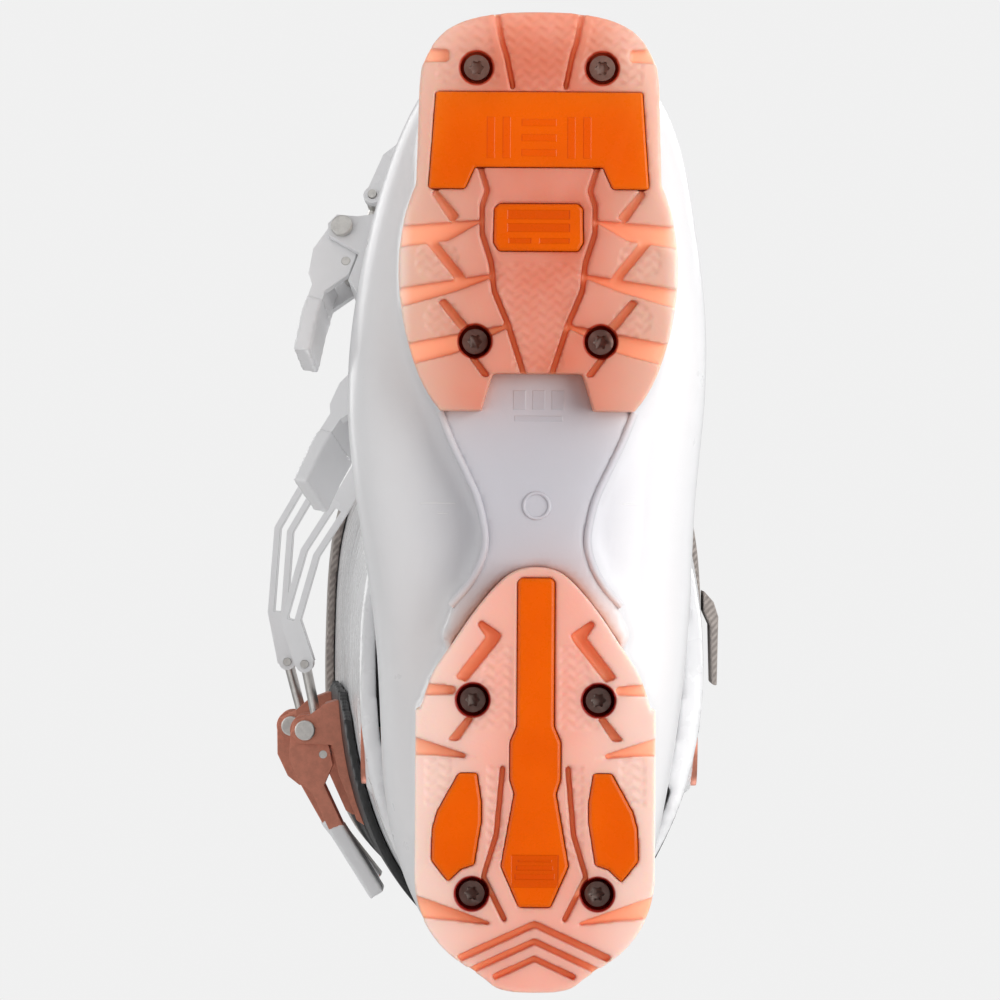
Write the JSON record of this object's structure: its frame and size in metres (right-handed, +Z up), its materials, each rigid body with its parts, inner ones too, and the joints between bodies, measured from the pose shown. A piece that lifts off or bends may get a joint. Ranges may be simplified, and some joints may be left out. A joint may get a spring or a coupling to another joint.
{
  "type": "alpine ski boot",
  "caption": "Right-foot alpine ski boot with overlap shell, flexing cuff, over-centre buckles, screwed-on soles, liner and power strap.",
  "frame": {"origin": "mid-sole mark on the sole plane, half the boot sole length behind the toe", "axes": "toe towards -Y, heel towards +Y, +Z up the leg, +X to the wearer's inner side, -X the buckle side"},
  "size_m": [0.1522, 0.2864, 0.33],
  "materials": {
    "shell_white": "semi-gloss injection-moulded shell",
    "cuff_white": "semi-gloss injection-moulded cuff",
    "sole_frosted": "frosted translucent pink-orange sole rubber",
    "insert_orange": "glossy orange insert",
    "steel_screw": "plated steel",
    "rose_metal": "rose-gold anodised aluminium",
    "base_white": "moulded buckle base",
    "overlay_black": "satin black spoiler",
    "strap_webbing": "grey-beige webbing",
    "liner_fabric": "quilted liner cloth",
    "board_grey": "moulded foam board",
    "footbed_felt": "felt",
    "lever_white": "white painted cast lever",
    "bail_white": "white painted bail frame",
    "pin_steel": "plated steel pin"
  },
  "bodies": {
    "lower_boot": {"lower_shell": "shell_white", "toe_sole": "sole_frosted", "heel_sole": "sole_frosted", "toe_glide_plate": "insert_orange", "toe_badge": "insert_orange", "heel_keel_insert": "insert_orange", "heel_wing_inserts": "insert_orange", "toe_sole_screws": "steel_screw", "heel_sole_screws": "steel_screw", "sole_screw_bushes": "steel_screw", "liner_foot": "liner_fabric", "boot_board": "board_grey", "footbed": "footbed_felt", "ankle_pivot_outer": "rose_metal", "ankle_pivot_inner": "rose_metal", "toe_buckle_base": "base_white", "toe_buckle_hinge_pin": "pin_steel", "toe_buckle_rack": "rose_metal", "instep_buckle_base": "base_white", "instep_buckle_hinge_pin": "pin_steel", "instep_buckle_rack": "rose_metal"},
    "cuff": {"cuff_shell": "cuff_white", "rear_overlay": "overlay_black", "overlay_screws": "steel_screw", "power_strap": "strap_webbing", "strap_end": "strap_webbing", "liner_shaft": "liner_fabric", "liner_tongue": "liner_fabric", "pull_loop": "strap_webbing", "lower_cuff_buckle_base": "rose_metal", "lower_cuff_buckle_hinge_pin": "pin_steel", "lower_cuff_buckle_rack": "rose_metal", "upper_cuff_buckle_base": "rose_metal", "upper_cuff_buckle_hinge_pin": "pin_steel", "upper_cuff_buckle_rack": "rose_metal"},
    "toe_lever": {"toe_buckle_lever": "lever_white", "toe_buckle_yoke_pin": "pin_steel"},
    "toe_adjuster": {"toe_buckle_adjuster": "pin_steel", "toe_buckle_bail_pin": "pin_steel"},
    "toe_bail": {"toe_buckle_bail": "bail_white"},
    "instep_lever": {"instep_buckle_lever": "lever_white", "instep_buckle_yoke_pin": "pin_steel"},
    "instep_adjuster": {"instep_buckle_adjuster": "pin_steel", "instep_buckle_bail_pin": "pin_steel"},
    "instep_bail": {"instep_buckle_bail": "bail_white"},
    "lower_cuff_lever": {"lower_cuff_buckle_lever": "rose_metal", "lower_cuff_buckle_yoke_pin": "pin_steel"},
    "lower_cuff_adjuster": {"lower_cuff_buckle_adjuster": "pin_steel", "lower_cuff_buckle_bail_pin": "pin_steel"},
    "lower_cuff_bail": {"lower_cuff_buckle_bail": "bail_white"},
    "upper_cuff_lever": {"upper_cuff_buckle_lever": "rose_metal", "upper_cuff_buckle_yoke_pin": "pin_steel"},
    "upper_cuff_adjuster": {"upper_cuff_buckle_adjuster": "pin_steel", "upper_cuff_buckle_bail_pin": "pin_steel"},
    "upper_cuff_bail": {"upper_cuff_buckle_bail": "bail_white"}
  },
  "joints": [
    {"name": "cuff_flex", "type": "hinge", "parent": "lower_boot", "child": "cuff", "pos_m": [0, 0.075, 0.1], "axis": [1, 0, 0], "range_deg": [0, 10]},
    {"name": "toe_lever_open", "type": "hinge", "parent": "lower_boot", "child": "toe_lever", "pos_m": [-0.057, -0.0776, 0.0606], "axis": [0.1305, 0.3933, 0.9101], "range_deg": [0, 110]},
    {"name": "toe_adjuster_follow", "type": "hinge", "parent": "toe_lever", "child": "toe_adjuster", "pos_m": [-0.05627, -0.06862, 0.05662], "axis": [0.1305, 0.3933, 0.9101], "range_deg": [-110, 0]},
    {"name": "toe_bail_lift", "type": "hinge", "parent": "toe_adjuster", "child": "toe_bail", "pos_m": [-0.0486, -0.08891, 0.06428], "axis": [-0.1305, -0.3933, -0.9101], "range_deg": [0, 60]},
    {"name": "instep_lever_open", "type": "hinge", "parent": "lower_boot", "child": "instep_lever", "pos_m": [-0.0478, -0.0362, 0.0966], "axis": [0.3798, 0.5835, 0.7178], "range_deg": [0, 110]},
    {"name": "instep_adjuster_follow", "type": "hinge", "parent": "instep_lever", "child": "instep_adjuster", "pos_m": [-0.04925, -0.02828, 0.09093], "axis": [0.3798, 0.5835, 0.7178], "range_deg": [-110, 0]},
    {"name": "instep_bail_lift", "type": "hinge", "parent": "instep_adjuster", "child": "instep_bail", "pos_m": [-0.03712, -0.04702, 0.09975], "axis": [-0.3798, -0.5835, -0.7178], "range_deg": [0, 60]},
    {"name": "lower_cuff_lever_open", "type": "hinge", "parent": "cuff", "child": "lower_cuff_lever", "pos_m": [-0.0735, 0.0747, 0.19], "axis": [0, 0, 1], "range_deg": [0, 110]},
    {"name": "lower_cuff_adjuster_follow", "type": "hinge", "parent": "lower_cuff_lever", "child": "lower_cuff_adjuster", "pos_m": [-0.06771, 0.08267, 0.19], "axis": [0, 0, 1], "range_deg": [-110, 0]},
    {"name": "lower_cuff_bail_lift", "type": "hinge", "parent": "lower_cuff_adjuster", "child": "lower_cuff_bail", "pos_m": [-0.07396, 0.05333, 0.19], "axis": [0, 0, -1], "range_deg": [0, 60]},
    {"name": "upper_cuff_lever_open", "type": "hinge", "parent": "cuff", "child": "upper_cuff_lever", "pos_m": [-0.08, 0.0755, 0.24], "axis": [0, 0, 1], "range_deg": [0, 110]},
    {"name": "upper_cuff_adjuster_follow", "type": "hinge", "parent": "upper_cuff_lever", "child": "upper_cuff_adjuster", "pos_m": [-0.0738, 0.08315, 0.24], "axis": [0, 0, 1], "range_deg": [-110, 0]},
    {"name": "upper_cuff_bail_lift", "type": "hinge", "parent": "upper_cuff_adjuster", "child": "upper_cuff_bail", "pos_m": [-0.0816, 0.05418, 0.24], "axis": [0, 0, -1], "range_deg": [0, 60]}
  ],
  "couplings": [
    {"joint": "toe_adjuster_follow", "follows": "toe_lever_open", "ratio": -1},
    {"joint": "instep_adjuster_follow", "follows": "instep_lever_open", "ratio": -1},
    {"joint": "lower_cuff_adjuster_follow", "follows": "lower_cuff_lever_open", "ratio": -1},
    {"joint": "upper_cuff_adjuster_follow", "follows": "upper_cuff_lever_open", "ratio": -1}
  ]
}
